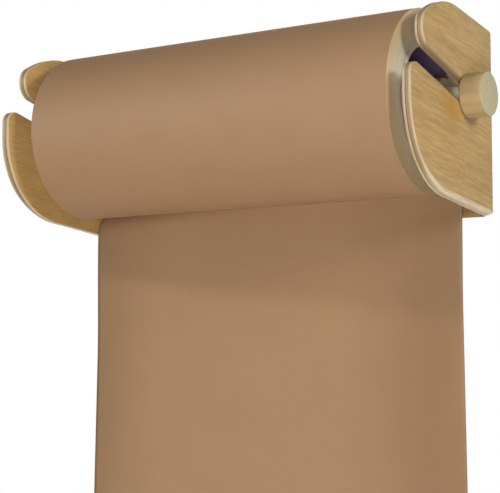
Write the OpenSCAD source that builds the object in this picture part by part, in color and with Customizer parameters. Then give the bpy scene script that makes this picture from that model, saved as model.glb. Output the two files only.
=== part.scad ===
// Wall-mounted paper roll holder
// Millimetres. +X runs to the right along the rod, +Y points into the wall, +Z is up.
// The origin lies on the wall, midway between the two screws of the back rail.

/* [Frame] */
// Space between each end of a roll in the middle and the side panel
end_gap = 17; // [12:0.5:40]
// Thickness of the plywood side panels
panel_t = 6.5; // [5:0.5:12]
// Height of the rod's axis above the wall screws
seat_rise = 63; // [55:0.5:80]

/* [Panel outline] */
// Reach of the lower lobe from the wall
lower_reach = 129; // [118:1:150]
// Reach of the upper lobe from the wall
upper_reach = 110.5; // [104:1:118]
// Height of the panel's top corner at the wall, above the rod's axis
top_rise = 53; // [48:0.5:62]
// Slope of the top edge, rising away from the wall
top_slope = 6.4; // [3:0.1:9]
// Distance of the crown from the wall
crown_reach = 78; // [68:1:86]
// Height of the brow of the upper lobe above the rod's axis
brow_rise = 43.8; // [40:0.1:48]
// Depth of the panel's bottom corner at the wall, below the wall screws
heel_drop = 16; // [13:0.1:32]
// Slope of the bottom edge, falling towards the wall
bottom_slope = 5.7; // [3:0.1:9]
// Radius that rounds the crown
crown_r = 68; // [40:1:80]
// Radius that rounds the brow
brow_r = 12; // [6:0.5:16]
// Radius of the upper lobe's tip at the slot mouth
tip_r = 13; // [4:0.5:14]
// Radius of the lower lobe's lip at the slot mouth
lip_r = 8.5; // [3:0.5:10]
// Radius of the belly of the lower lobe
belly_r = 62; // [40:1:68]
// Radius of the bottom corner at the wall
heel_r = 4; // [2:0.5:12]
// Radius of the top corner at the wall
nape_r = 3; // [1:0.5:10]

/* [Slot] */
// Slope of the slot, rising towards its mouth
slot_slope = 13.5; // [8:0.5:18]

/* [Back rail] */
// Height of the rail
rail_h = 32; // [26:1:36]
// Thickness of the rail
rail_t = 9; // [7:0.5:10]
// Radius of the rail's long edges
rail_edge_r = 1.5; // [0.5:0.1:3]
// Distance between the two wall screws
screw_spacing = 240; // [120:1:290]
// Diameter of the screw holes
screw_hole_d = 4.5; // [3.5:0.1:6]
// Diameter of the countersinks
screw_head_d = 9; // [7:0.1:11]

/* [Rail dowels] */
// Diameter of the dowels
dowel_d = 5; // [4:0.1:6]
// Distance between the two dowels of a joint
dowel_spacing = 18; // [12:0.5:20]
// Depth of a dowel in the panel
dowel_in_panel = 4; // [3:0.1:4.5]
// Depth of a dowel in the end of the rail
dowel_in_rail = 16; // [10:0.5:30]

/* [Rod] */
// Diameter of the rod
rod_d = 29; // [24:0.5:36]
// Diameter of the necks that run in the slots
neck_d = 16; // [12:0.1:18]
// Depth of a neck spindle in the end of the rod
neck_in_rod = 30; // [15:1:60]
// Depth of a neck spindle in its knob
neck_in_knob = 11; // [6:0.5:13]
// Gap between a shoulder of the rod and the inside of its panel
shoulder_gap = 9.5; // [4:0.5:11]
// Sideways play between a knob and the outside of its panel
knob_play = 0.4; // [0.4:0.1:3]
// Diameter of the knobs
knob_d = 30.5; // [24:0.5:40]
// Length of the knobs
knob_l = 16; // [14:0.5:30]
// Radius of the turned edges of the rod and the knobs
turned_r = 0.8; // [0.5:0.1:3]

/* [Paper] */
// Diameter of the paper roll
roll_d = 127; // [110:1:140]
// Length of the paper roll
roll_l = 300; // [250:1:400]
// Sideways place of the roll, off the middle of the holder
roll_shift = 5.5; // [-10:0.5:10]
// Bore of the cardboard core
core_bore_d = 76.2; // [60:0.1:80]
// Wall of the cardboard core
core_wall = 4; // [2:0.5:6]
// Angle above level at which the core hangs on the rod
hang_angle = 14; // [8:1:40]
// Gap between the back of the roll and the wall
wall_gap = 1.5; // [1.2:0.1:6]
// Thickness of the paper sheet
sheet_t = 0.4; // [0.3:0.05:0.6]
// Length of paper off the roll, from its line on the back of the roll
sheet_l = 330; // [300:1:360]
// Angle above level, on the back of the roll, where the sheet starts
start_angle = 25; // [5:1:40]
// Angle below level at which the sheet leaves the roll at its left edge
left_leave_angle = 63; // [40:0.5:70]
// Angle below level at which the sheet leaves the roll at its right edge
right_leave_angle = 31; // [25:0.5:50]
// Angle from plumb at which the sheet's left edge hangs towards the front
left_fall_angle = 1.5; // [0:0.1:3]
// Angle from plumb at which the sheet's right edge hangs towards the wall
right_fall_angle = 1.7; // [0:0.1:2]
// Radius at which the sheet bends back to hang straight
sheet_bend_r = 20; // [15:1:60]

/* [Fits] */
// Gap between a neck and the walls of its slot
slot_gap = 0.3; // [0.3:0.05:0.8]
// How much wider the drilled seat at the end of a slot is than the slot
seat_extra = 0.2; // [0.1:0.05:0.5]
// Radial gap of a glued spindle or dowel
glue_gap = 0.05; // [0.02:0.01:0.15]
// Gap between the paper, its core and what they lie on
paper_gap = 0.3; // [0.2:0.05:0.5]

/* [Hidden] */
$fn = 96;
cut = 1;
arc_steps = 12;

// Panels
inside_w = roll_l + 2 * end_gap;
panel_in = inside_w / 2;
panel_out = panel_in + panel_t;
slot_w = neck_d + 2 * slot_gap;
seat_d = slot_w + seat_extra;

// The roll hangs by its core on the rod and leans back on the wall
hang_reach = core_bore_d / 2 - rod_d / 2 - paper_gap;
roll_y = -(roll_d / 2 + wall_gap);
seat_y = roll_y + hang_reach * cos(hang_angle);
seat_z = seat_rise;
roll_z = seat_z - hang_reach * sin(hang_angle);
core_d = core_bore_d + 2 * core_wall;

// Rod, from the middle outwards
shoulder_x = panel_in - shoulder_gap;
knob_x = panel_out + knob_play;
neck_from = shoulder_x - neck_in_rod;
neck_to = knob_x + neck_in_knob;

// Rail
rail_top = rail_h / 2;
rail_mid_y = -rail_t / 2;
countersink = (screw_head_d - screw_hole_d) / 2;

// Sheet, as its middle surface
sheet_r = roll_d / 2 + paper_gap + sheet_t / 2;
sheet_cols = 12;
wrap_rows = 14;
bend_rows = 12;
fall_rows = 6;
sheet_rows = wrap_rows + bend_rows + fall_rows;

// Rounds the corners of an outline given as [x, y, radius] points
function unit(v) = v / norm(v);
function at(corner) = [corner[0], corner[1]];
function around(corners, i) = corners[(i + len(corners)) % len(corners)];
function edge(corners, i) = at(around(corners, i + 1)) - at(around(corners, i));
function half_angle(corners, i) = acos(-unit(edge(corners, i - 1)) * unit(edge(corners, i))) / 2;

// Length of an edge that a corner's arc takes, and the share of it that the edge has room for
function taken(corners, i) = around(corners, i)[2] / tan(half_angle(corners, i));
function room(corners, i) =
    let (wanted = taken(corners, i) + taken(corners, i + 1))
    wanted > norm(edge(corners, i)) ? norm(edge(corners, i)) / wanted : 1;

function turned(v, angle) = [
    v[0] * cos(angle) - v[1] * sin(angle),
    v[0] * sin(angle) + v[1] * cos(angle)
];
function corner_arc(corners, i) =
    let (
        half = half_angle(corners, i),
        back = -unit(edge(corners, i - 1)),
        ahead = unit(edge(corners, i)),
        radius = around(corners, i)[2] * min(room(corners, i - 1), room(corners, i)),
        centre = at(corners[i]) + unit(back + ahead) * radius / sin(half),
        start = at(corners[i]) + back * radius / tan(half) - centre,
        side = sign(back[1] * ahead[0] - back[0] * ahead[1])
    )
    radius == 0 ? [at(corners[i])] : [
        for (step = [0 : arc_steps])
            centre + turned(start, side * (180 - 2 * half) * step / arc_steps)
    ];
function rounded(corners) = [for (i = [0 : len(corners) - 1]) each corner_arc(corners, i)];

// Heights of the slot's edges above the rod's axis, at a reach from the wall
function slot_line(reach) = (reach + seat_y) * tan(slot_slope);
slot_half_rise = slot_w / 2 / cos(slot_slope);
slot_normal = [sin(slot_slope), cos(slot_slope)] * slot_w / 2;

// Outline of a side panel in [y, z], round from the top corner at the wall
panel_corners = [
    [0, seat_z + top_rise, nape_r],
    [-crown_reach, seat_z + top_rise + crown_reach * tan(top_slope), crown_r],
    [-upper_reach, seat_z + brow_rise, brow_r],
    [-upper_reach, seat_z + slot_line(upper_reach) + slot_half_rise, tip_r],
    [seat_y + slot_normal[0], seat_z + slot_normal[1], 0],
    [seat_y - slot_normal[0], seat_z - slot_normal[1], 0],
    [-lower_reach, seat_z + slot_line(lower_reach) - slot_half_rise, lip_r],
    [-lower_reach, -heel_drop + lower_reach * tan(bottom_slope), belly_r],
    [0, -heel_drop, heel_r]
];

// Stands a [y, z] outline up and runs it along +X from x
module along_x(x, length) {
    translate([x, 0, 0])
        rotate([90, 0, 90])
            linear_extrude(length)
                children();
}

// A round bar along +X from x
module bar_x(x, length, d) {
    translate([x, 0, 0])
        rotate([0, 90, 0])
            cylinder(h = length, d = d);
}

// A turned piece along +X from x, with rounded rims
module turned_x(x, length, d) {
    profile = [
        [0, 0, 0],
        [d / 2, 0, turned_r],
        [d / 2, length, turned_r],
        [0, length, 0]
    ];
    translate([x, 0, 0])
        rotate([0, 90, 0])
            rotate_extrude()
                polygon(rounded(profile));
}

// Sets its children at the places of the two dowels of one rail end
module at_dowels() {
    for (side = [-1, 1])
        translate([0, rail_mid_y, side * dowel_spacing / 2])
            children();
}

// Right-hand pieces, which the left-hand ones mirror
module side_panel() {
    difference() {
        along_x(panel_in, panel_t)
            polygon(rounded(panel_corners));
        translate([0, seat_y, seat_z])
            bar_x(panel_in - cut, panel_t + 2 * cut, seat_d);
        at_dowels()
            bar_x(panel_in - cut, dowel_in_panel + cut, dowel_d);
    }
}

module rail_dowels() {
    at_dowels()
        bar_x(panel_in - dowel_in_rail + glue_gap,
            dowel_in_rail + dowel_in_panel - 2 * glue_gap, dowel_d - 2 * glue_gap);
}

module neck_spindle() {
    translate([0, seat_y, seat_z])
        bar_x(neck_from + glue_gap, neck_to - neck_from - 2 * glue_gap, neck_d - 2 * glue_gap);
}

module knob() {
    translate([0, seat_y, seat_z])
        difference() {
            turned_x(knob_x, knob_l, knob_d);
            bar_x(knob_x - cut, neck_in_knob + cut, neck_d);
        }
}

// Frame
module left_side_panel() {
    color("burlywood") mirror([1, 0, 0]) side_panel();
}

module right_side_panel() {
    color("burlywood") side_panel();
}

module screw_hole() {
    rotate([90, 0, 0]) {
        translate([0, 0, -cut])
            cylinder(h = rail_t + 2 * cut, d = screw_hole_d);
        translate([0, 0, rail_t - countersink])
            cylinder(h = countersink, d1 = screw_hole_d, d2 = screw_head_d);
    }
}

module back_rail() {
    section = [
        [0, -rail_top, 0],
        [0, rail_top, 0],
        [-rail_t, rail_top, rail_edge_r],
        [-rail_t, -rail_top, rail_edge_r]
    ];
    color("peru")
        difference() {
            along_x(-panel_in, inside_w)
                polygon(rounded(section));
            for (side = [-1, 1])
                translate([side * screw_spacing / 2, 0, 0])
                    screw_hole();
            for (end = [0, 1])
                mirror([end, 0, 0])
                    at_dowels()
                        bar_x(panel_in - dowel_in_rail, dowel_in_rail + cut, dowel_d);
        }
}

module left_rail_dowels() {
    color("wheat") mirror([1, 0, 0]) rail_dowels();
}

module right_rail_dowels() {
    color("wheat") rail_dowels();
}

// Rod
module roller_rod() {
    color("tan")
        translate([0, seat_y, seat_z])
            difference() {
                turned_x(-shoulder_x, 2 * shoulder_x, rod_d);
                for (end = [0, 1])
                    mirror([end, 0, 0])
                        bar_x(neck_from, neck_in_rod + cut, neck_d);
            }
}

module left_neck_spindle() {
    color("tan") mirror([1, 0, 0]) neck_spindle();
}

module right_neck_spindle() {
    color("tan") neck_spindle();
}

module left_knob() {
    color("tan") mirror([1, 0, 0]) knob();
}

module right_knob() {
    color("tan") knob();
}

// Paper
module tube_x(length, outer_d, inner_d) {
    translate([roll_shift, roll_y, roll_z])
        difference() {
            bar_x(-length / 2, length, outer_d);
            bar_x(-length / 2 - cut, length + 2 * cut, inner_d);
        }
}

module paper_roll() {
    color("rosybrown") tube_x(roll_l, roll_d, core_d + 2 * glue_gap);
}

module cardboard_core() {
    color("darkkhaki") tube_x(roll_l, core_d, core_bore_d);
}

// The sheet follows the back of the roll, leaves it, bends back and falls nearly plumb.
// Each returns [y, z, angle of the outward normal below level].
function on_roll(angle) = [roll_y + sheet_r * cos(angle), roll_z - sheet_r * sin(angle), angle];
function on_bend(leave, angle) = [
    roll_y + (sheet_r + sheet_bend_r) * cos(leave) - sheet_bend_r * cos(angle),
    roll_z - (sheet_r + sheet_bend_r) * sin(leave) + sheet_bend_r * sin(angle),
    angle
];
function fall_length(leave, fall) =
    sheet_l - (sheet_r * (start_angle + leave) + sheet_bend_r * (leave - fall)) * PI / 180;
function sheet_point(leave, fall, row) =
    let (
        bent = (row - wrap_rows) / bend_rows,
        fallen = fall_length(leave, fall) * (row - wrap_rows - bend_rows) / fall_rows
    )
    row <= wrap_rows ? on_roll(-start_angle + (start_angle + leave) * row / wrap_rows)
    : bent <= 1 ? on_bend(leave, leave + (fall - leave) * bent)
    : on_bend(leave, fall) - fallen * [sin(fall), cos(fall), 0];
function sheet_side(col, row, offset) =
    let (
        share = col / sheet_cols,
        leave = left_leave_angle + (right_leave_angle - left_leave_angle) * share,
        fall = left_fall_angle - (right_fall_angle + left_fall_angle) * share,
        place = sheet_point(leave, fall, row)
    )
    [
        roll_shift + roll_l * (share - 0.5),
        place[0] + offset * cos(place[2]),
        place[1] - offset * sin(place[2])
    ];

module paper_sheet() {
    side_count = (sheet_cols + 1) * (sheet_rows + 1);
    points = [
        for (offset = [-sheet_t / 2, sheet_t / 2], row = [0 : sheet_rows], col = [0 : sheet_cols])
            sheet_side(col, row, offset)
    ];
    function id(side, row, col) = side * side_count + row * (sheet_cols + 1) + col;
    function quad(a, b, c, d) = [[a, b, c], [a, c, d]];
    faces = [
        for (row = [0 : sheet_rows - 1], col = [0 : sheet_cols - 1])
            each concat(
                quad(id(0, row, col), id(0, row, col + 1), id(0, row + 1, col + 1), id(0, row + 1, col)),
                quad(id(1, row, col), id(1, row + 1, col), id(1, row + 1, col + 1), id(1, row, col + 1))
            ),
        for (row = [0 : sheet_rows - 1])
            each concat(
                quad(id(0, row, 0), id(0, row + 1, 0), id(1, row + 1, 0), id(1, row, 0)),
                quad(id(0, row + 1, sheet_cols), id(0, row, sheet_cols),
                    id(1, row, sheet_cols), id(1, row + 1, sheet_cols))
            ),
        for (col = [0 : sheet_cols - 1])
            each concat(
                quad(id(0, 0, col + 1), id(0, 0, col), id(1, 0, col), id(1, 0, col + 1)),
                quad(id(0, sheet_rows, col), id(0, sheet_rows, col + 1),
                    id(1, sheet_rows, col + 1), id(1, sheet_rows, col))
            )
    ];
    color("rosybrown") polyhedron(points, faces);
}

left_side_panel();
right_side_panel();
back_rail();
left_rail_dowels();
right_rail_dowels();
roller_rod();
left_neck_spindle();
right_neck_spindle();
left_knob();
right_knob();
paper_roll();
cardboard_core();
paper_sheet();
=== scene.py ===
"""A wall-mounted paper roll holder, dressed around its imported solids.

Metres throughout. +X runs to the right along the rod, +Y points into the wall, +Z is up.
"""

from math import cos, pi, radians, sin, tan

import bmesh
import bpy
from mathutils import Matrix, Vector


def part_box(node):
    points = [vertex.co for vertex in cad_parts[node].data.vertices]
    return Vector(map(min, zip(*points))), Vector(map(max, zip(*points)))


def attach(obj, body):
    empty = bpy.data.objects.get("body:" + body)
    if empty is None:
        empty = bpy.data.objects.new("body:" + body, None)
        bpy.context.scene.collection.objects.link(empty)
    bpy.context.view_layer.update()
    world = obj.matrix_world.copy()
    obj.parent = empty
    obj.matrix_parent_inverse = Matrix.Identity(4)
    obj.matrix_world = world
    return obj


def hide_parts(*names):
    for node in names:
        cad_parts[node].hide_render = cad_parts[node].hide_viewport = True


bl_info = {
    "name": "Paper Roll Holder",
    "version": (1, 0, 0),
    "blender": (4, 5, 0),
    "location": "3D View > Sidebar > Roll Holder",
    "description": "Builds a plywood wall holder with its rod, its paper roll and the hanging sheet",
    "category": "Add Mesh",
}

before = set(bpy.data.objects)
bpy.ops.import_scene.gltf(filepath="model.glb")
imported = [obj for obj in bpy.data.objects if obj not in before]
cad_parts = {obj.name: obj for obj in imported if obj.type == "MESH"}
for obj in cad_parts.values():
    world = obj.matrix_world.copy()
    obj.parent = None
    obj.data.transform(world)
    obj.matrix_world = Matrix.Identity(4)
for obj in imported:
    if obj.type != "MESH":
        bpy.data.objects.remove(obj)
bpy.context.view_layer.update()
MM = 0.001
WHITE = (1, 1, 1, 1)

# Angles above which an edge stays sharp, on a piece made from a bmesh and on one made by a rule
SHARP_EDGE = radians(35)
SHARP_FOLD = radians(40)

# Sockets of a Mix node that take its two colours and give the mixed one
MIX_FIRST, MIX_SECOND, MIX_RESULT = 6, 7, 2

# Places and sizes that the frame gives
PANEL_LOW, PANEL_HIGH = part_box("right_side_panel")
DOWEL_LOW, DOWEL_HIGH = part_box("right_rail_dowels")
ROD_LOW, ROD_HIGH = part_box("roller_rod")
NECK_LOW, NECK_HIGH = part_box("right_neck_spindle")
KNOB_LOW, KNOB_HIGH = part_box("right_knob")
ROLL_LOW, ROLL_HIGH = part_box("paper_roll")
CORE_LOW, CORE_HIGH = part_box("cardboard_core")
SHEET_LOW, SHEET_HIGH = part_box("paper_sheet")

PANEL_THICKNESS = PANEL_HIGH.x - PANEL_LOW.x
ROD_AXIS = (ROD_LOW + ROD_HIGH) / 2
ROD_RADIUS = (ROD_HIGH.z - ROD_LOW.z) / 2
NECK_RADIUS = (NECK_HIGH.z - NECK_LOW.z) / 2
KNOB_RADIUS = (KNOB_HIGH.z - KNOB_LOW.z) / 2
ROLL_AXIS = (ROLL_LOW + ROLL_HIGH) / 2
ROLL_RADIUS = (ROLL_HIGH.z - ROLL_LOW.z) / 2
ROLL_LENGTH = ROLL_HIGH.x - ROLL_LOW.x
CORE_RADIUS = (CORE_HIGH.z - CORE_LOW.z) / 2


# Settings

def length(name, description, default):
    """A size in metres that a user may change."""
    return bpy.props.FloatProperty(
        name=name, description=description, default=default, unit="LENGTH", precision=5)


def angle(name, description, degrees):
    """An angle that a user may change, written here in degrees."""
    return bpy.props.FloatProperty(
        name=name, description=description, default=radians(degrees), unit="ROTATION")


def colour(name, description, default):
    """A linear colour that a user may change."""
    return bpy.props.FloatVectorProperty(
        name=name, description=description, default=default, subtype="COLOR", min=0, max=1)


def level(name, description, default):
    """A factor that a user may change. A lamp of 1 shows a surface that faces it in its own colour."""
    return bpy.props.FloatProperty(
        name=name, description=description, default=default, subtype="FACTOR", min=0, max=2)


class WoodSettings(bpy.types.PropertyGroup):
    """Sizes and colours of the plywood panels, the rail and the turned pieces."""

    round_over: length("Round-over", "Radius of the sanded edges of the panels", 0.7 * MM)
    bottom_round: length("Bottom Round", "Radius of the panels' outer edges along the bottom", 3.8 * MM)
    inner_ply: length("Inner Ply", "Thickness of the ply on the inside of a panel", 2.1 * MM)
    outer_ply: length("Outer Ply", "Thickness of the ply on the outside of a panel", 1.9 * MM)
    slot_slope: angle("Slot Slope", "Rise of the slots away from the wall", 13.5)
    grain_slope: angle("Grain Slope", "Rise of the face grain away from the wall", 6.4)
    veneer: colour("Veneer", "Outer face of the plywood", (0.585, 0.388, 0.149))
    # Paler face towards the roll: painted light that lifts the shade the roll casts there.
    veneer_inside_lit: colour("Veneer Inside", "Face of the plywood towards the roll", (0.645, 0.392, 0.140))
    veneer_shade: colour("Veneer Shade", "Darker streaks of the face", (0.385, 0.235, 0.083))
    # Warmer, darker face below the slot and on the lower lobe: partly the wood's tint, partly painted
    # shade.
    veneer_warm_shade: colour("Veneer Warm", "Warm tint that handling leaves on the face", (0.48, 0.245, 0.050))
    pale_ply: colour("Pale Ply", "Cut edges of the outer plies", (0.65, 0.50, 0.32))
    # Paler plies along the bottom: painted light from below.
    bottom_ply_lit: colour("Bottom Ply", "Cut edges of the outer plies along the bottom", (0.86, 0.70, 0.47))
    core_ply: colour("Core Ply", "Cut edge of the middle ply", (0.36, 0.245, 0.125))
    glue_line: colour("Glue Line", "Dark lines between the plies", (0.13, 0.075, 0.035))
    # The rail's colours are darkened: painted shade.
    rail: colour("Rail", "Solid wood of the back rail", (0.36, 0.185, 0.066))
    rail_shade: colour("Rail Shade", "Late wood of the back rail", (0.25, 0.12, 0.040))
    turned: colour("Turned Wood", "Sides of the knobs", (0.455, 0.335, 0.162))
    turned_shade: colour("Turned Shade", "Growth rings of the turned wood", (0.335, 0.237, 0.104))
    # Paler ends of the knobs: painted light from the side.
    end_grain_lit: colour("End Grain", "Cut ends of the knobs", (0.55, 0.48, 0.30))
    rod: colour("Rod", "Pale wood of the rod and its necks", (0.78, 0.68, 0.49))
    rod_shade: colour("Rod Shade", "Growth rings of the rod", (0.66, 0.55, 0.37))
    turned_edge: length("Turned Edge", "Radius of the turned rims", 0.9 * MM)
    knob_crown: length("Knob Crown", "Rise of the middle of a knob's end", 0.4 * MM)


class PaperSettings(bpy.types.PropertyGroup):
    """Sizes and colours of the roll, its core and the hanging sheet."""

    core_wall: length("Core Wall", "Wall of the cardboard core", 4 * MM)
    layer_relief: length(
        "Layer Relief", "Depth to which single layers stand back at the roll's ends", 0.25 * MM)
    sheet_length: length("Sheet Length", "Length of paper off the roll", 330 * MM)
    sheet_gap: length("Sheet Gap", "Gap from the roll to the middle of the sheet", 0.5 * MM)
    sheet_thickness: length("Sheet Thickness", "Thickness of the shown sheet", 0.3 * MM)
    start_angle: angle("Start Angle", "Angle above level where the sheet starts on the roll", 25)
    left_leave_angle: angle(
        "Left Leave Angle", "Angle below level where the left edge leaves the roll", 63)
    right_leave_angle: angle(
        "Right Leave Angle", "Angle below level where the right edge leaves the roll", 31)
    left_fall_angle: angle("Left Fall Angle", "Lean of the left edge towards the front", 1.5)
    right_fall_angle: angle("Right Fall Angle", "Lean of the right edge towards the wall", 1.7)
    bend_radius: length("Bend Radius", "Radius at which the sheet bends back to hang straight", 20 * MM)
    edge_curl: length("Edge Curl", "How far the side edges of the sheet curl", 3 * MM)
    kraft: colour("Kraft", "Brown wrapping paper", (0.424, 0.2555, 0.136))
    kraft_shade: colour("Kraft Shade", "Darker clouds and fibres of the paper", (0.364, 0.212, 0.107))
    # The sheet's paper is a darker copy of the roll's: painted shade.
    sheet_shade_tone: level(
        "Sheet Tone", "Tone of the paper's inner side, which the sheet shows, to its outer side", 0.964)
    cut_edge: colour("Cut Edge", "Cut edges of the outer layers of the roll", (0.595, 0.44, 0.23))
    # Paler layers towards the core: painted light.
    cut_core_lit: colour("Cut Core", "Cut edges of the layers next to the core", (0.66, 0.62, 0.45))
    cut_shade: colour("Cut Shade", "Gaps between the wound layers", (0.42, 0.30, 0.15))
    board: colour("Board", "Cut rim of the core", (0.72, 0.69, 0.58))
    # The core's dark inside is painted shade.
    board_inside_shade: colour("Board Inside", "Dark lining of the core", (0.125, 0.075, 0.145))


class StageSettings(bpy.types.PropertyGroup):
    """Camera, floor and light."""

    camera_place: bpy.props.FloatVectorProperty(
        name="Camera Place", description="Where the camera stands",
        default=(0.5592, -0.9163, -0.1168), subtype="TRANSLATION", precision=4)
    camera_turn: angle("Camera Turn", "Turn of the view to the left of straight into the wall", 32.765)
    camera_tilt: angle("Camera Tilt", "Rise of the view above level", 4.639)
    camera_lens: bpy.props.FloatProperty(
        name="Lens", description="Focal length on a 36 mm wide sensor", default=100.51, unit="CAMERA")
    floor_drop: length("Floor Drop", "Depth of the floor below the origin", 1.6)
    ambient: level("Ambient", "Even light from all around", 0.06)
    front: level("Front", "Large soft lamp in front, below the roll", 0.735)
    key: level("Key", "Lamp high in front that throws the roll's shadow", 0.225)
    side: level("Side", "Lamp on the right that lights the panel's face", 0.40)
    back: level("Back", "Lamp behind on the left that lights the back", 0.80)
    gloss: level("Gloss", "Lamp in front on the left that shows only as a gloss", 2.0)


# Shader and geometry maths

class Wire:
    """A node's socket that Python expressions can work with."""

    def __init__(self, socket):
        self.socket = socket

    def node(self, kind, settings=None, inputs=None, output=0):
        """Adds a node to this wire's tree: its settings first, then its sockets' values or links."""
        tree = self.socket.id_data
        made = tree.nodes.new(kind)
        for name, value in (settings or {}).items():
            setattr(made, name, value)
        for key, value in (inputs or {}).items():
            if isinstance(value, Wire):
                tree.links.new(value.socket, made.inputs[key])
            else:
                made.inputs[key].default_value = value
        return Wire(made.outputs[output]) if made.outputs else None

    def other(self, output):
        """Another output of the same node."""
        return Wire(self.socket.node.outputs[output])

    def math(self, operation, *values):
        """A Math node on plain numbers."""
        return self.node("ShaderNodeMath", {"operation": operation}, dict(enumerate(values)))

    def __abs__(self):
        return self.math("ABSOLUTE", self)

    def __add__(self, value):
        return self.math("ADD", self, value)

    __radd__ = __add__

    def __sub__(self, value):
        return self.math("SUBTRACT", self, value)

    def __rsub__(self, value):
        return self.math("SUBTRACT", value, self)

    def __mul__(self, value):
        return self.math("MULTIPLY", self, value)

    __rmul__ = __mul__

    def __truediv__(self, value):
        return self.math("DIVIDE", self, value)

    def __rtruediv__(self, value):
        return self.math("DIVIDE", value, self)


def sine(wire):
    """Sine of an angle."""
    return wire.math("SINE", wire)


def cosine(wire):
    """Cosine of an angle."""
    return wire.math("COSINE", wire)


def distance(first, second):
    """Length of the slanted side over two numbers at right angles."""
    return first.math("SQRT", first * first + second * second)


def limited(wire, low=0.0, high=1.0):
    """A value kept between two limits."""
    return wire.node("ShaderNodeClamp", {}, {"Value": wire, "Min": low, "Max": high})


def ease(wire, low, high):
    """Rises smoothly from 0 at low to 1 at high."""
    return wire.node(
        "ShaderNodeMapRange", {"interpolation_type": "SMOOTHSTEP"},
        {"Value": wire, "From Min": low, "From Max": high})


def parts(vector):
    """The three numbers of a vector."""
    split = vector.node("ShaderNodeSeparateXYZ", {}, {0: vector})
    return split, split.other(1), split.other(2)


# Surface helpers

def opaque(shade):
    """A colour with full alpha, as sockets take it."""
    return (*tuple(shade)[:3], 1.0)


def toned(shade, tone):
    """A colour made darker by a tone below 1, or lighter by one above."""
    return tuple(tone * part for part in shade)


def mix(factor, first, second):
    """Goes from the first colour to the second as factor goes from 0 to 1."""
    first, second = (shade if isinstance(shade, Wire) else opaque(shade) for shade in (first, second))
    return factor.node(
        "ShaderNodeMix", {"data_type": "RGBA"},
        {"Factor": factor, MIX_FIRST: first, MIX_SECOND: second}, output=MIX_RESULT)


def stretched(place, scale, turn=(0, 0, 0)):
    """Coordinates turned, then scaled along each axis, so that noise on them is drawn out.

    A scale is about the number of spots to a metre along X, Y and Z.
    """
    turned = place.node(
        "ShaderNodeMapping", {"vector_type": "TEXTURE"}, {"Vector": place, "Rotation": turn})
    return turned.node("ShaderNodeVectorMath", {"operation": "MULTIPLY"}, {0: turned, 1: scale})


def noise(place, scale=1.0, detail=2.0, roughness=0.5, distortion=0.0):
    """Noise from 0 to 1, with about as many spots to each unit of place as scale says."""
    return place.node("ShaderNodeTexNoise", {}, {
        "Vector": place, "Scale": scale, "Detail": detail, "Roughness": roughness,
        "Distortion": distortion})


def new_surface(name, coordinates="Object"):
    """A new material and its coordinates."""
    material = bpy.data.materials.new(name)
    material.use_nodes = True
    material.node_tree.nodes.clear()
    place = material.node_tree.nodes.new("ShaderNodeTexCoord")
    return material, Wire(place.outputs[coordinates])


def finish_surface(material, shade, roughness, height, relief, gloss=0.5):
    """Joins a colour, a roughness and a height to one surface.

    Relief is the height's depth in metres, and gloss the strength of its reflections.
    """
    bump = height.node("ShaderNodeBump", {}, {"Height": height, "Distance": relief})
    shader = bump.node("ShaderNodeBsdfPrincipled", {}, {
        "Base Color": shade, "Roughness": roughness, "Normal": bump, "Specular IOR Level": gloss})
    shader.node("ShaderNodeOutputMaterial", {}, {"Surface": shader})
    return material


# Wood finishes

def veneer_surface(wood):
    """Face of the plywood: streaks, a fine hatch and short pores along the grain.

    It is plainer and paler on the side of the roll, painted light that lifts the shade there, and warmer
    and darker in a patch below the slot and on the lower lobe, partly the wood's tint and partly painted
    shade, and in clouds elsewhere.
    """
    material, place = new_surface("veneer_face")
    turn = (-wood.grain_slope, 0, 0)
    drift = 2.2 * MM * noise(stretched(place, (9, 13, 24), turn))
    across, depth, height = parts(stretched(place, (1, 1, 1), turn))
    grain = place.node("ShaderNodeCombineXYZ", {}, {"X": across, "Y": depth, "Z": height + drift})
    streaks = noise(stretched(grain, (60, 26, 520)), detail=3)
    figure = noise(stretched(grain, (20, 9, 120)), distortion=0.6)
    hatch = ease(noise(stretched(grain, (300, 60, 700)), detail=1), 0.35, 0.70)
    pores = ease(noise(stretched(grain, (500, 130, 1900)), detail=1), 0.60, 0.72)
    clouds = noise(stretched(place, (12, 14, 22), turn))
    across, depth, height = parts(place)
    outside = ease(abs(across), PANEL_LOW.x, PANEL_HIGH.x)
    tone = 0.45 * ease(streaks, 0.3, 0.75) + 0.4 * ease(figure, 0.4, 0.75) + 0.42 * hatch - 0.04
    # Paler and plainer towards the roll: painted light.
    pale = mix(outside, wood.veneer_inside_lit, wood.veneer)
    body = mix(limited(tone * (0.6 + 0.4 * outside)), pale, wood.veneer_shade)
    warm = mix(limited(warm_tint_and_shade(depth, height, clouds)), body, wood.veneer_warm_shade)
    shade = mix(0.3 * pores, warm, toned(wood.veneer_shade, 0.55))
    return finish_surface(
        material, shade, roughness=0.5 + 0.12 * streaks + 0.10 * pores,
        height=0.4 * streaks - 0.8 * pores, relief=0.05 * MM, gloss=0.35)


def warm_tint_and_shade(depth, height, clouds):
    """How much the face is warmed and darkened: most in a ragged patch below the slot, partly the wood's
    tint and partly painted shade, and more on the lower lobe, painted shade.
    """
    patch_y = ROD_AXIS.y - 26 * MM
    patch_z = ROD_AXIS.z - 12 * MM
    fade = 20 * MM
    from_patch = distance(depth - patch_y, height - patch_z) + 16 * MM * clouds
    in_patch = 1.0 - ease(from_patch, 6 * MM, 30 * MM)
    # More of it on the lower lobe: painted shade.
    lower = 1.0 - ease(height, ROD_AXIS.z - fade, ROD_AXIS.z + fade)
    return 0.8 * in_patch + (0.2 + 0.2 * lower) * ease(clouds, 0.4, 0.7)


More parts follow.
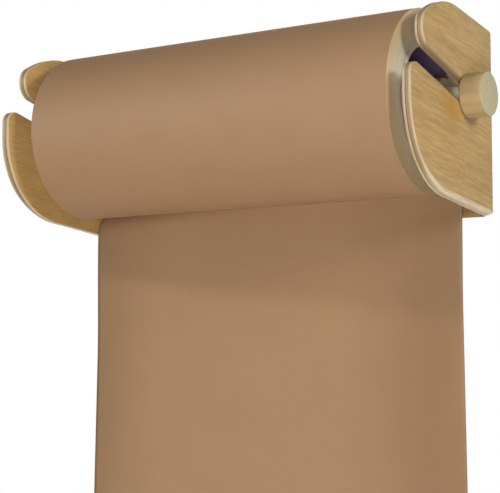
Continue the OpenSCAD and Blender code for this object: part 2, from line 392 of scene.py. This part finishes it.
def ply_edge_surface(wood):
    """Cut edge of the plywood: pale plies outside, a darker one between, and glue lines.

    The layers are paler and fainter along the bottom, painted light from below, and the walls of the slot
    are darker, painted shade.
    """
    material, place = new_surface("ply_edge")
    across, depth, height = parts(place)
    line = 0.30 * MM
    ragged = 0.16 * MM * (noise(place, 220) - 0.5)
    through = abs(across) - PANEL_LOW.x + ragged
    core_from = wood.inner_ply
    core_to = PANEL_THICKNESS - wood.outer_ply
    in_core = ease(through, core_from, core_from + line) - ease(through, core_to - line, core_to)
    glue = (ease(through, core_from - line, core_from)
            - ease(through, core_from + line, core_from + 2 * line)
            + 0.4 * ease(through, core_to - line, core_to)
            - 0.4 * ease(through, core_to, core_to + line)
            + 0.5 * ease(through, PANEL_THICKNESS - 1.5 * line, PANEL_THICKNESS - 0.5 * line))
    slope = wood.slot_slope
    # Darker walls of the slot: painted shade.
    off_slot = abs((depth - ROD_AXIS.y) * sin(slope) + (height - ROD_AXIS.z) * cos(slope))
    slot_shade = 1.0 - ease(off_slot, NECK_RADIUS + 0.8 * MM, NECK_RADIUS + 2.5 * MM)
    # Paler plies and fainter layers towards the bottom: painted light from below.
    fade = 14 * MM
    raised = ease(height, -fade, fade)
    clear = 0.3 + 0.7 * raised
    fibres = noise(place, 1500)
    bands = noise(stretched(place, (1600, 70, 70)))
    pale = mix(raised, wood.bottom_ply_lit, wood.pale_ply)
    plies = mix(clear * in_core, pale, wood.core_ply)
    grained = mix(limited(0.6 * fibres + 0.8 * bands - 0.5), plies, wood.core_ply)
    lined = mix(0.85 * clear * glue, grained, wood.glue_line)
    shade = mix(0.7 * slot_shade, lined, wood.core_ply)
    return finish_surface(
        material, shade, roughness=0.45 + 0.15 * fibres,
        height=0.6 * fibres + 0.5 * bands - 0.7 * glue, relief=0.10 * MM, gloss=0.10)


def solid_wood_surface(name, pale, dark, ring_step, ring_centre, contrast=1.0):
    """Solid wood along X: growth rings about a far centre, fibres along the piece and small pores."""
    material, place = new_surface(name)
    _, depth, height = parts(place)
    wander = noise(stretched(place, (5, 30, 30)))
    ring = distance(depth - ring_centre[0], height - ring_centre[1]) / ring_step + 1.6 * wander
    late = ease(ring.math("PINGPONG", ring, 1.0), 0.3, 1.0)
    fibres = noise(stretched(place, (35, 900, 900)), detail=3)
    pores = ease(noise(stretched(place, (110, 2200, 2200)), detail=1), 0.62, 0.74)
    shade = mix(limited(contrast * (0.6 * late + 0.6 * fibres - 0.2)), pale, dark)
    shade = mix(0.3 * contrast * pores, shade, toned(dark, 0.45))
    return finish_surface(
        material, shade, roughness=0.5 + 0.12 * fibres,
        height=0.5 * fibres - 0.6 * pores, relief=0.04 * MM, gloss=0.15)


# Paper finishes

def kraft_surface(name, paper, roughness, tone=1.0, width=0.0):
    """Brown wrapping paper: soft clouds, faint lines along its run, and scattered fibres.

    A width in metres darkens the two margins of a sheet unevenly, with painted shade.
    """
    material, place = new_surface(name, "UV")
    pale = toned(paper.kraft, tone)
    dark = toned(paper.kraft_shade, tone)
    clouds = noise(place, 30, detail=4, roughness=0.6)
    lines = noise(stretched(place, (700, 14, 1)))
    fibres = noise(stretched(place, (420, 1500, 1), (0, 0, 0.6)))
    specks = ease(noise(place, 900, detail=1), 0.70, 0.80)
    shade = mix(limited(0.7 * clouds + 0.35 * lines + 0.35 * fibres - 0.2), pale, dark)
    shade = mix(0.3 * specks, shade, toned(dark, 0.6))
    if width:
        # Darker margins: painted shade.
        shade = mix(0.58 * shaded_margins(place, width), shade, toned(dark, 0.7))
    return finish_surface(
        material, shade, roughness + 0.1 * fibres,
        height=0.5 * fibres + 0.3 * lines + 0.4 * clouds, relief=0.03 * MM, gloss=0.08)


def shaded_margins(place, width):
    """Uneven painted shade along the side edges of a sheet, which reaches further in from the right."""
    across, _, _ = parts(place)
    left = 1.0 - ease(across, -10 * MM, 65 * MM)
    right = 1.0 - ease(width - across, 10 * MM, 110 * MM)
    return (left + right) * ease(noise(stretched(place, (9, 7, 1))), 0.0, 0.6)


def layered_surface(name, inner, outer, dark, step, roughness, gloss):
    """Cut ends of wound layers: fine, uneven rings, from an inner to an outer colour."""
    material, place = new_surface(name)
    _, depth, height = parts(place)
    radius = distance(depth - ROLL_AXIS.y, height - ROLL_AXIS.z)
    along = radius.node("ShaderNodeCombineXYZ", {}, {"X": radius / step})
    rings = noise(along, detail=3)
    broad = noise(stretched(along, (0.12, 1, 1)))
    dust = noise(place, 260, detail=3)
    tone = limited(0.7 * ease(rings, 0.35, 0.75) + 0.5 * broad + 0.35 * dust - 0.5)
    # On the roll, the paler inner colour is painted light.
    pale = mix(ease(radius, CORE_RADIUS, ROLL_RADIUS), inner, outer)
    return finish_surface(
        material, mix(tone, pale, dark), roughness + 0.1 * rings,
        height=rings, relief=0.04 * MM, gloss=gloss)


def core_shade_surface(paper):
    """Inside of the core, dark with painted shade, with the slanting seams of its wound strips."""
    material, place = new_surface("core_shade")
    across, depth, height = parts(place)
    strip_pitch = 85 * MM
    turn = across.math("ARCTAN2", height - ROLL_AXIS.z, depth - ROLL_AXIS.y)
    strip = across / strip_pitch + turn / (2 * pi)
    seam = ease(strip.math("PINGPONG", strip, 0.5), 0.49, 0.498)
    mottle = noise(place, 180, detail=3)
    worn = toned(paper.board_inside_shade, 2)
    shade = mix(limited(0.5 * mottle + 0.7 * seam), paper.board_inside_shade, worn)
    return finish_surface(
        material, shade, roughness=0.7 + 0.1 * mottle, height=mottle - 0.8 * seam, relief=0.15 * MM)


# Mesh helpers

def new_object(name, mesh):
    """Links a mesh as a new object at the origin."""
    made = bpy.data.objects.new(name, mesh)
    bpy.context.scene.collection.objects.link(made)
    return made


def to_object(name, work, materials):
    """Turns a bmesh into a smooth object whose sharp edges stay sharp."""
    mesh = bpy.data.meshes.new(name)
    work.to_mesh(mesh)
    work.free()
    mesh.shade_smooth()
    mesh.set_sharp_from_angle(angle=SHARP_EDGE)
    for material in materials:
        mesh.materials.append(material)
    return new_object(name, mesh)


def place_piece(piece, body, node):
    """Lets a finished piece stand for a CAD node on a body."""
    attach(piece, body)
    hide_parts(node)


def dress_node(node, material):
    """Gives a CAD node that stays its material."""
    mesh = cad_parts[node].data
    mesh.materials.clear()
    mesh.materials.append(material)


def rounded(corners, steps=6):
    """Rounds a turned profile of (x, radius, fillet) corners, and returns its (x, radius) points."""
    points = []
    for k, (x, radius, fillet) in enumerate(corners):
        here = Vector((x, radius))
        if not fillet:
            points.append(here)
            continue
        back = (Vector(corners[k - 1][:2]) - here).normalized()
        ahead = (Vector(corners[k + 1][:2]) - here).normalized()
        half = back.angle(ahead) / 2
        centre = here + (back + ahead).normalized() * fillet / sin(half)
        start = here + back * fillet / tan(half) - centre
        end = here + ahead * fillet / tan(half) - centre
        points += [centre + fillet * start.slerp(end, step / steps) for step in range(steps + 1)]
    return points


def lathe(name, profile, axis, materials, around=96, end_facing=0.8):
    """Turns (x, radius) points about a line along X, where a radius of 0 closes an end.

    Sides take the first material, and faces that look along the line the second.
    """
    work = bmesh.new()
    rings = []
    for x, radius in profile:
        count = around if radius > 0 else 1
        turns = [2 * pi * k / around for k in range(count)]
        rings.append([
            work.verts.new((x, axis.y + radius * cos(turn), axis.z + radius * sin(turn)))
            for turn in turns])
    for first, second in zip(rings, rings[1:]):
        for k in range(around):
            corners = [first[k % len(first)], first[(k + 1) % len(first)],
                       second[(k + 1) % len(second)], second[k % len(second)]]
            work.faces.new(list(dict.fromkeys(corners)))
    bmesh.ops.recalc_face_normals(work, faces=work.faces)
    for face in work.faces:
        face.material_index = 1 if abs(face.normal.x) > end_facing else 0
    return to_object(name, work, materials)


# Geometry Nodes trees

def new_rule(name, inputs):
    """A Geometry Nodes tree with named inputs, and those inputs as wires."""
    tree = bpy.data.node_groups.new(name, "GeometryNodeTree")
    for label, kind in inputs.items():
        tree.interface.new_socket(name=label, in_out="INPUT", socket_type="NodeSocket" + kind)
    tree.interface.new_socket(name="Mesh", in_out="OUTPUT", socket_type="NodeSocketGeometry")
    group = tree.nodes.new("NodeGroupInput")
    return tree, {label: Wire(group.outputs[label]) for label in inputs}


def grid_field(start, columns, rows):
    """A unit grid in the tree of a wire, with its points' places across and along from 0 to 1."""
    grid = start.node("GeometryNodeMeshGrid", {}, {"Vertices X": columns, "Vertices Y": rows})
    across, along, _ = parts(grid.node("GeometryNodeInputPosition"))
    return grid, across + 0.5, 0.5 - along


def shaped(grid, uv, place):
    """Stores a UV map on a grid, moves its points to their places and smooths it."""
    flat = grid.node("ShaderNodeCombineXYZ", {}, {"X": uv[0], "Y": uv[1]})
    mapped = grid.node(
        "GeometryNodeStoreNamedAttribute", {"data_type": "FLOAT2", "domain": "CORNER"},
        {"Geometry": grid, "Name": "UVMap", "Value": flat})
    target = grid.node("ShaderNodeCombineXYZ", {}, dict(zip("XYZ", place)))
    moved = mapped.node("GeometryNodeSetPosition", {}, {"Geometry": mapped, "Position": target})
    return moved.node("GeometryNodeSetShadeSmooth", {}, {"Geometry": moved})


def end_rule(tree, mesh, materials):
    """Realizes the mesh and sets its (material, selection) pairs."""
    last = mesh.node("GeometryNodeRealizeInstances", {}, {"Geometry": mesh})
    for material, chosen in materials:
        picks = {} if chosen is None else {"Selection": chosen}
        last = last.node("GeometryNodeSetMaterial", {}, {"Geometry": last, "Material": material, **picks})
    last.node("NodeGroupOutput", {}, {"Mesh": last})
    return tree


def wound_tube_rule():
    """A tube of wound layers along X, whose ends show each layer at its own depth.

    The rows of one grid run out over the left end, along the side, in over the right end and back
    through the bore.
    """
    tree, given = new_rule("Wound Tube", {
        "Length": "Float", "Outer Radius": "Float", "Inner Radius": "Float", "Layers": "Int",
        "Relief": "Float", "Axis": "Vector", "Wrap Material": "Material", "End Material": "Material"})
    around, layer_rows, side_rows, bore_rows = 160, 4, 48, 12
    hair, weld, seed, end_facing = 0.001, 0.002 * MM, 7, 0.3
    end_rows = given["Layers"] * layer_rows
    rows = 2 * end_rows + side_rows + bore_rows
    grid, turn, share = grid_field(given["Length"], around + 1, rows + 1)
    row = share.math("ROUND", share * rows)
    left = limited(row / end_rows)
    side = limited((row - end_rows) / side_rows)
    right = limited((row - end_rows - side_rows) / end_rows)
    bore = limited((row - 2 * end_rows - side_rows) / bore_rows)
    out = left - right
    radius = given["Inner Radius"] + (given["Outer Radius"] - given["Inner Radius"]) * out
    layer = out * given["Layers"] - hair
    groove = 1.0 - sine(layer.math("FRACT", layer) * pi)
    number = layer.math("FLOOR", layer)
    uneven = number.node(
        "FunctionNodeRandomValue", {"data_type": "FLOAT"}, {"ID": number, "Seed": seed}, output="Value")
    along = given["Length"] * (side - bore - 0.5)
    inset = given["Relief"] * (0.35 * groove + 0.65 * uneven)
    centre_x, centre_y, centre_z = parts(given["Axis"])
    angle_round = turn * (2 * pi)
    place = (centre_x + along - along.math("SIGN", along) * inset,
             centre_y + radius * cosine(angle_round),
             centre_z - radius * sine(angle_round))
    mesh = shaped(grid, (along, angle_round * given["Outer Radius"]), place)
    closed = mesh.node("GeometryNodeMergeByDistance", {}, {"Geometry": mesh, "Distance": weld})
    facing, _, _ = parts(closed.node("GeometryNodeInputNormal"))
    is_end = facing.math("GREATER_THAN", abs(facing), end_facing)
    return end_rule(tree, closed, [(given["Wrap Material"], None), (given["End Material"], is_end)])


def hanging_sheet_rule():
    """A sheet that follows the back of the roll, leaves it, bends back and falls nearly plumb.

    Its left edge curls towards the wall and its right edge away from it.
    """
    tree, given = new_rule("Hanging Sheet", {
        "Width": "Float", "Length": "Float", "Left Edge": "Float", "Axis": "Vector", "Roll Radius": "Float",
        "Start Angle": "Float", "Left Leave Angle": "Float", "Right Leave Angle": "Float",
        "Left Lean": "Float", "Right Lean": "Float", "Bend Radius": "Float", "Edge Curl": "Float",
        "Seating": "Float", "Material": "Material"})
    columns, rows = 97, 161
    seated_run, curl_drop = 40 * MM, 100 * MM
    back_fade, front_from, front_to = 45.0, 0.84, 1.02
    grid, across, share = grid_field(given["Width"], columns, rows)
    run = share * given["Length"]
    leave = given["Left Leave Angle"] + (given["Right Leave Angle"] - given["Left Leave Angle"]) * across
    lean = given["Left Lean"] + (given["Right Lean"] - given["Left Lean"]) * across
    wrap = given["Roll Radius"] * (given["Start Angle"] + leave)
    bend = given["Bend Radius"] * (leave - lean)
    radius = given["Roll Radius"] - given["Seating"] * (1.0 - ease(run, 0.0, seated_run))
    on_roll = run.math("MINIMUM", run, wrap) / given["Roll Radius"] - given["Start Angle"]
    on_bend = leave - limited(run - wrap, 0.0, bend) / given["Bend Radius"]
    fall = run.math("MAXIMUM", run - wrap - bend, 0.0)
    from_left = across * given["Width"]
    curl_back = from_left.math("EXPONENT", from_left * -back_fade)
    curl_front = ease(across, front_from, front_to)
    curl = given["Edge Curl"] * ease(fall, 0.0, curl_drop) * (curl_back - curl_front)
    _, centre_y, centre_z = parts(given["Axis"])
    y = (centre_y + radius * cosine(on_roll) + curl - fall * sine(lean)
         + given["Bend Radius"] * (cosine(leave) - cosine(on_bend)))
    z = (centre_z - radius * sine(on_roll) - fall * cosine(lean)
         - given["Bend Radius"] * (sine(leave) - sine(on_bend)))
    mesh = shaped(grid, (from_left, run), (given["Left Edge"] + from_left, y, z))
    return end_rule(tree, mesh, [(given["Material"], None)])


def follow_rule(name, tree, values):
    """Runs a Geometry Nodes tree with the given inputs, and keeps its result as a plain mesh."""
    piece = new_object(name, bpy.data.meshes.new(name))
    modifier = piece.modifiers.new("Rule", "NODES")
    modifier.node_group = tree
    for item in tree.interface.items_tree:
        if item.in_out == "INPUT":
            modifier[item.identifier] = values[item.name]
    ready = piece.evaluated_get(bpy.context.evaluated_depsgraph_get())
    mesh = bpy.data.meshes.new_from_object(ready)
    mesh.set_sharp_from_angle(angle=SHARP_FOLD)
    piece.modifiers.remove(modifier)
    piece.data = mesh
    return piece


# Side panels

def on_inner_rim(edge):
    """True for an edge between a panel's inner face and its outline, but not round a dowel hole."""
    margin = 0.3 * MM
    flat = [abs(face.normal.x) > 0.9 for face in edge.link_faces]
    inside = all(abs(vertex.co.x) < PANEL_LOW.x + margin for vertex in edge.verts)
    at_dowel = all(
        DOWEL_LOW.y - margin < vertex.co.y < DOWEL_HIGH.y + margin
        and abs(vertex.co.z) < DOWEL_HIGH.z + margin
        for vertex in edge.verts)
    return sorted(flat) == [False, True] and inside and not at_dowel


def rim_radius(place, inward, wood):
    """Radius of the outer rim at a place: larger where the panel's outline faces down to the floor."""
    small_below, large_above = 0.6, 0.95
    facing_down = inward.z if place.z < ROD_AXIS.z / 2 else 0
    share = min(max((facing_down - small_below) / (large_above - small_below), 0), 1)
    return wood.round_over + (wood.bottom_round - wood.round_over) * share


def round_outside(work, wood, steps=7):
    """Rounds over the rim of a panel's outer face, with a larger radius along the bottom."""
    face = max(work.faces, key=lambda each: abs(each.calc_center_median().x))
    outward = face.normal.copy()
    rim = list(face.verts)
    starts = [vertex.co.copy() for vertex in rim]
    work.faces.remove(face)
    runs = [(after - here).normalized() for here, after in zip(starts, starts[1:] + starts[:1])]
    sides = [outward.cross(run) for run in runs]
    moves = []
    for k, side in enumerate(sides):
        inward = (sides[k - 1] + side) / (1 + sides[k - 1].dot(side))
        moves.append((inward, rim_radius(starts[k], inward.normalized(), wood)))
    for vertex, (_, radius) in zip(rim, moves):
        vertex.co -= outward * radius
    for step in range(1, steps + 1):
        turn = pi / 2 * step / steps
        ring = [work.verts.new(here + radius * ((1 - cos(turn)) * inward - (1 - sin(turn)) * outward))
                for here, (inward, radius) in zip(starts, moves)]
        for k in range(len(rim)):
            work.faces.new((rim[k - 1], rim[k], ring[k], ring[k - 1]))
        rim = ring
    work.faces.new(rim)


def sanded_panel(name, node, wood, materials):
    """A panel's own outline with its edges rounded over.

    Its faces take the first material, and its edges the second.
    """
    work = bmesh.new()
    work.from_mesh(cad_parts[node].data)
    bmesh.ops.remove_doubles(work, verts=work.verts, dist=0.001 * MM)
    bmesh.ops.dissolve_limit(work, angle_limit=radians(0.2), verts=work.verts, edges=work.edges)
    bmesh.ops.bevel(
        work, geom=[edge for edge in work.edges if on_inner_rim(edge)], offset=wood.round_over,
        offset_type="OFFSET", segments=5, profile=0.5, affect="EDGES", clamp_overlap=False)
    work.normal_update()
    round_outside(work, wood)
    work.normal_update()
    for face in work.faces:
        flat = abs(face.normal.x) > 0.999
        face.material_index = 0 if flat else 1
    return to_object(name, work, materials)


class HOLDER_OT_side_panels(bpy.types.Operator):
    """Build both plywood side panels, with sanded edges that show the plies"""

    bl_idname = "holder.side_panels"
    bl_label = "Side Panels"

    def execute(self, context):
        wood = context.scene.holder_wood
        materials = [veneer_surface(wood), ply_edge_surface(wood)]
        for side in ("left", "right"):
            panel = sanded_panel(side + "_panel", side + "_side_panel", wood, materials)
            place_piece(panel, "frame", side + "_side_panel")
        return {"FINISHED"}


# Back rail

class HOLDER_OT_back_rail(bpy.types.Operator):
    """Finish the back rail and its dowels in solid wood"""

    bl_idname = "holder.back_rail"
    bl_label = "Back Rail"

    def execute(self, context):
        wood = context.scene.holder_wood
        # Darkened rail colours: painted shade.
        rail = solid_wood_surface(
            "rail_wood_grain", wood.rail, wood.rail_shade,
            ring_step=3.2 * MM, ring_centre=(30 * MM, -55 * MM))
        dowel = solid_wood_surface(
            "dowel_grain", wood.pale_ply, wood.turned_shade,
            ring_step=1.4 * MM, ring_centre=(0, 30 * MM))
        dress_node("back_rail", rail)
        for side in ("left", "right"):
            dress_node(side + "_rail_dowels", dowel)
        return {"FINISHED"}


# Rod and knobs

def rod_profile(wood):
    """The rod from end to end, with a blind bore for a neck in each end."""
    half = rounded([
        (NECK_LOW.x, 0, 0), (NECK_LOW.x, NECK_RADIUS, 0), (ROD_HIGH.x, NECK_RADIUS, 0),
        (ROD_HIGH.x, ROD_RADIUS, wood.turned_edge), (0, ROD_RADIUS, 0)])
    return [(-x, radius) for x, radius in half] + [(x, radius) for x, radius in reversed(half[:-1])]


def knob_profile(wood):
    """A knob from the bottom of its bore, round the outside, to the middle of its slightly crowned end."""
    return rounded([
        (NECK_HIGH.x, 0, 0), (NECK_HIGH.x, NECK_RADIUS, 0), (KNOB_LOW.x, NECK_RADIUS, 0),
        (KNOB_LOW.x, KNOB_RADIUS, wood.turned_edge), (KNOB_HIGH.x, KNOB_RADIUS, wood.turned_edge),
        (KNOB_HIGH.x + 0.6 * wood.knob_crown, KNOB_RADIUS / 2, 0), (KNOB_HIGH.x + wood.knob_crown, 0, 0)])


class HOLDER_OT_rod(bpy.types.Operator):
    """Turn the rod and its two knobs, and finish the necks between them"""

    bl_idname = "holder.rod"
    bl_label = "Rod and Knobs"

    def execute(self, context):
        wood = context.scene.holder_wood
        heart = (ROD_AXIS.y + 21 * MM, ROD_AXIS.z - 34 * MM)
        knob_side = solid_wood_surface(
            "turned_grain", wood.turned, wood.turned_shade,
            ring_step=4 * MM, ring_centre=heart, contrast=0.6)
        # Paler knob ends: painted light.
        knob_end = solid_wood_surface(
            "end_grain_lit", wood.end_grain_lit, wood.turned,
            ring_step=2 * MM, ring_centre=heart, contrast=0.22)
        rod_grain = solid_wood_surface(
            "rod_grain", wood.rod, wood.rod_shade,
            ring_step=3 * MM, ring_centre=heart, contrast=0.7)
        rod = lathe("turned_rod", rod_profile(wood), ROD_AXIS, [rod_grain, rod_grain])
        place_piece(rod, "rod", "roller_rod")
        for side, sign in (("left", -1), ("right", 1)):
            profile = [(sign * x, radius) for x, radius in knob_profile(wood)]
            knob = lathe(side + "_turned_knob", profile, ROD_AXIS, [knob_side, knob_end])
            place_piece(knob, "rod", side + "_knob")
            dress_node(side + "_neck_spindle", rod_grain)
        return {"FINISHED"}


# Paper roll

class HOLDER_OT_paper_roll(bpy.types.Operator):
    """Wind the paper roll and its cardboard core"""

    bl_idname = "holder.paper_roll"
    bl_label = "Paper Roll"

    def execute(self, context):
        paper = context.scene.holder_paper
        tree = wound_tube_rule()
        core_gap = 0.05 * MM
        ends = layered_surface(
            "cut_layers", paper.cut_core_lit, paper.cut_edge, paper.cut_shade,
            step=0.45 * MM, roughness=0.24, gloss=0.9)
        roll = follow_rule("wound_roll", tree, {
            "Length": ROLL_LENGTH, "Outer Radius": ROLL_RADIUS, "Inner Radius": CORE_RADIUS + core_gap,
            "Layers": 30, "Relief": paper.layer_relief, "Axis": ROLL_AXIS,
            "Wrap Material": kraft_surface("kraft_wrap", paper, roughness=0.58), "End Material": ends})
        place_piece(roll, "roll", "paper_roll")
        rim = layered_surface(
            "core_rim", paper.board, paper.board, paper.cut_shade,
            step=0.7 * MM, roughness=0.6, gloss=0.5)
        core = follow_rule("wound_core", tree, {
            "Length": ROLL_LENGTH, "Outer Radius": CORE_RADIUS,
            "Inner Radius": CORE_RADIUS - paper.core_wall,
            "Layers": 6, "Relief": 0.5 * paper.layer_relief, "Axis": ROLL_AXIS,
            "Wrap Material": core_shade_surface(paper), "End Material": rim})
        place_piece(core, "roll", "cardboard_core")
        return {"FINISHED"}


# Hanging sheet

class HOLDER_OT_paper_sheet(bpy.types.Operator):
    """Hang the sheet that comes off the back of the roll"""

    bl_idname = "holder.paper_sheet"
    bl_label = "Paper Sheet"

    def execute(self, context):
        paper = context.scene.holder_paper
        width = SHEET_HIGH.x - SHEET_LOW.x
        # A darker copy of the roll's paper: painted shade.
        material = kraft_surface(
            "kraft_sheet", paper, roughness=0.78, tone=paper.sheet_shade_tone, width=width)
        sheet = follow_rule("hanging_sheet", hanging_sheet_rule(), {
            "Width": width, "Length": paper.sheet_length, "Left Edge": SHEET_LOW.x, "Axis": ROLL_AXIS,
            "Roll Radius": ROLL_RADIUS + paper.sheet_gap, "Start Angle": paper.start_angle,
            "Left Leave Angle": paper.left_leave_angle, "Right Leave Angle": paper.right_leave_angle,
            "Left Lean": paper.left_fall_angle, "Right Lean": -paper.right_fall_angle,
            "Bend Radius": paper.bend_radius, "Edge Curl": paper.edge_curl,
            "Seating": 0.5 * paper.sheet_gap, "Material": material})
        wall = sheet.modifiers.new("Thickness", "SOLIDIFY")
        wall.thickness = paper.sheet_thickness
        wall.offset = 0
        place_piece(sheet, "sheet", "paper_sheet")
        return {"FINISHED"}


# Stage

def seen_directly(path):
    """1 for rays that the camera sees, straight or in a reflection or through glass."""
    return limited(path + path.other("Is Glossy Ray") + path.other("Is Transmission Ray"))


def lay_floor(stage):
    """A pale floor that keeps the object's shadow and fades into the white background further away."""
    reach, fade_from, fade_to = 30, 1.0, 4.0
    work = bmesh.new()
    bmesh.ops.create_grid(work, x_segments=1, y_segments=1, size=reach)
    for vertex in work.verts:
        vertex.co.z = -stage.floor_drop
    material, place = new_surface("pale_floor")
    across, depth, _ = parts(place)
    far = ease(distance(across, depth), fade_from, fade_to)
    path = place.node("ShaderNodeLightPath", output="Is Camera Ray")
    plain = path.node("ShaderNodeBsdfPrincipled", {}, {
        "Base Color": (0.8, 0.8, 0.8, 1), "Roughness": 0.9, "Specular IOR Level": 0.0})
    lift = path.node("ShaderNodeEmission", {}, {"Color": WHITE, "Strength": 0.6})
    white = path.node("ShaderNodeEmission", {}, {"Color": WHITE, "Strength": 1.0})
    near = path.node("ShaderNodeAddShader", {}, {0: plain, 1: lift})
    seen = path.node("ShaderNodeMixShader", {}, {0: far, 1: near, 2: white})
    mixed = path.node("ShaderNodeMixShader", {}, {0: seen_directly(path), 1: plain, 2: seen})
    mixed.node("ShaderNodeOutputMaterial", {}, {"Surface": mixed})
    to_object("floor", work, [material])


def light_world(scene, stage):
    """Even light all around, behind a white background."""
    scene.world = bpy.data.worlds.new("studio")
    scene.world.use_nodes = True
    tree = scene.world.node_tree
    tree.nodes.clear()
    path = Wire(tree.nodes.new("ShaderNodeLightPath").outputs["Is Camera Ray"])
    even = path.node("ShaderNodeBackground", {}, {"Color": WHITE, "Strength": stage.ambient})
    white = path.node("ShaderNodeBackground", {}, {"Color": WHITE, "Strength": 1.0})
    mixed = path.node("ShaderNodeMixShader", {}, {0: seen_directly(path), 1: even, 2: white})
    mixed.node("ShaderNodeOutputWorld", {}, {"Surface": mixed})


def lamp(name, strength, turn, rise, away, size):
    """A square lamp aimed at the roll, and as strong on it at any distance.

    Turn is to the right of straight in front and rise above level, in degrees.
    """
    light = bpy.data.lights.new(name, "AREA")
    light.size = size
    light.energy = strength * (pi * away) ** 2
    made = bpy.data.objects.new(name, light)
    turn, rise = radians(turn), radians(rise)
    outward = Vector((sin(turn) * cos(rise), -cos(turn) * cos(rise), sin(rise)))
    made.location = ROLL_AXIS + outward * away
    made.rotation_euler = outward.to_track_quat("Z", "Y").to_euler()
    made.visible_camera = False
    bpy.context.scene.collection.objects.link(made)
    return made


def set_camera(scene, stage):
    """The camera, looking up a little and to the left."""
    data = bpy.data.cameras.new("camera")
    data.sensor_width = 36
    data.lens = stage.camera_lens
    camera = bpy.data.objects.new("camera", data)
    turn, tilt = stage.camera_turn, stage.camera_tilt
    forward = Vector((-sin(turn) * cos(tilt), cos(turn) * cos(tilt), sin(tilt)))
    camera.location = stage.camera_place
    camera.rotation_euler = forward.to_track_quat("-Z", "Y").to_euler()
    scene.collection.objects.link(camera)
    scene.camera = camera


class HOLDER_OT_stage(bpy.types.Operator):
    """Set up the floor, the light and the camera"""

    bl_idname = "holder.stage"
    bl_label = "Stage"

    def execute(self, context):
        stage = context.scene.holder_stage
        context.scene.view_settings.view_transform = "Standard"
        lay_floor(stage)
        light_world(context.scene, stage)
        lamp("front_lamp", stage.front, turn=26, rise=-25, away=2.4, size=1.2)
        lamp("key_lamp", stage.key, turn=-8, rise=43, away=1.8, size=0.14)
        lamp("side_lamp", stage.side, turn=74, rise=14, away=1.3, size=0.34)
        lamp("back_lamp", stage.back, turn=-142, rise=4, away=2.0, size=0.80)
        gloss = lamp("gloss_lamp", stage.gloss, turn=-40, rise=14, away=1.8, size=0.3)
        gloss.visible_diffuse = False
        set_camera(context.scene, stage)
        return {"FINISHED"}


# Sidebar and registration

class HOLDER_PT_sidebar(bpy.types.Panel):
    """Lists the steps that build the holder"""

    bl_label = "Paper Roll Holder"
    bl_space_type = "VIEW_3D"
    bl_region_type = "UI"
    bl_category = "Roll Holder"

    def draw(self, context):
        for operator in OPERATORS:
            self.layout.operator(operator.bl_idname)
        for name in SETTINGS:
            group = getattr(context.scene, name)
            box = self.layout.box()
            for key in group.__annotations__:
                box.prop(group, key)


OPERATORS = (
    HOLDER_OT_side_panels, HOLDER_OT_back_rail, HOLDER_OT_rod, HOLDER_OT_paper_roll,
    HOLDER_OT_paper_sheet, HOLDER_OT_stage)
SETTINGS = {"holder_wood": WoodSettings, "holder_paper": PaperSettings, "holder_stage": StageSettings}


def register():
    """Registers the settings, the operators and the panel."""
    for name, group in SETTINGS.items():
        bpy.utils.register_class(group)
        setattr(bpy.types.Scene, name, bpy.props.PointerProperty(type=group))
    for kind in (*OPERATORS, HOLDER_PT_sidebar):
        bpy.utils.register_class(kind)


def unregister():
    """Takes away what register added."""
    for kind in (HOLDER_PT_sidebar, *reversed(OPERATORS)):
        bpy.utils.unregister_class(kind)
    for name, group in SETTINGS.items():
        delattr(bpy.types.Scene, name)
        bpy.utils.unregister_class(group)


def main():
    """Builds the whole holder."""
    register()
    bpy.ops.holder.side_panels()
    bpy.ops.holder.back_rail()
    bpy.ops.holder.rod()
    bpy.ops.holder.paper_roll()
    bpy.ops.holder.paper_sheet()
    bpy.ops.holder.stage()


if __name__ == "__main__":
    main()
